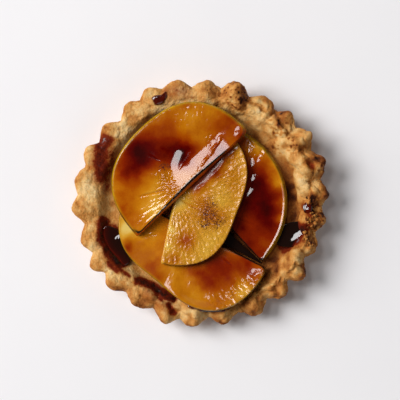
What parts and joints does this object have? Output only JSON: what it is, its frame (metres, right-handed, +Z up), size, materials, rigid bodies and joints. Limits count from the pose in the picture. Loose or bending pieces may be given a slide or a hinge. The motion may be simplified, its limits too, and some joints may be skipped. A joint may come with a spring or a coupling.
{
  "type": "persimmon tart",
  "caption": "Round fluted pastry tart with overlapping half-moon slices of caramelised persimmon laid in its shallow shell.",
  "frame": {"origin": "The middle of the shell's flat underside, on the surface that the tart stands on.", "axes": "+Z up out of the tart; +X towards the picture's right and +Y towards its top."},
  "size_m": [0.1122, 0.1089, 0.0214],
  "materials": {
    "pastry": "Golden baked shortcrust, dry and crumbly, with browned tips and dark toasted grains on one side.",
    "persimmon": "Amber fruit flesh under clear caramel, wet and glossy, dark red where the caramel is thick."
  },
  "bodies": {
    "root": {"tart_shell": "pastry", "persimmon_slice_lower_left": "persimmon", "persimmon_slice_right": "persimmon", "persimmon_slice_middle": "persimmon", "persimmon_slice_upper_left": "persimmon"}
  },
  "joints": []
}
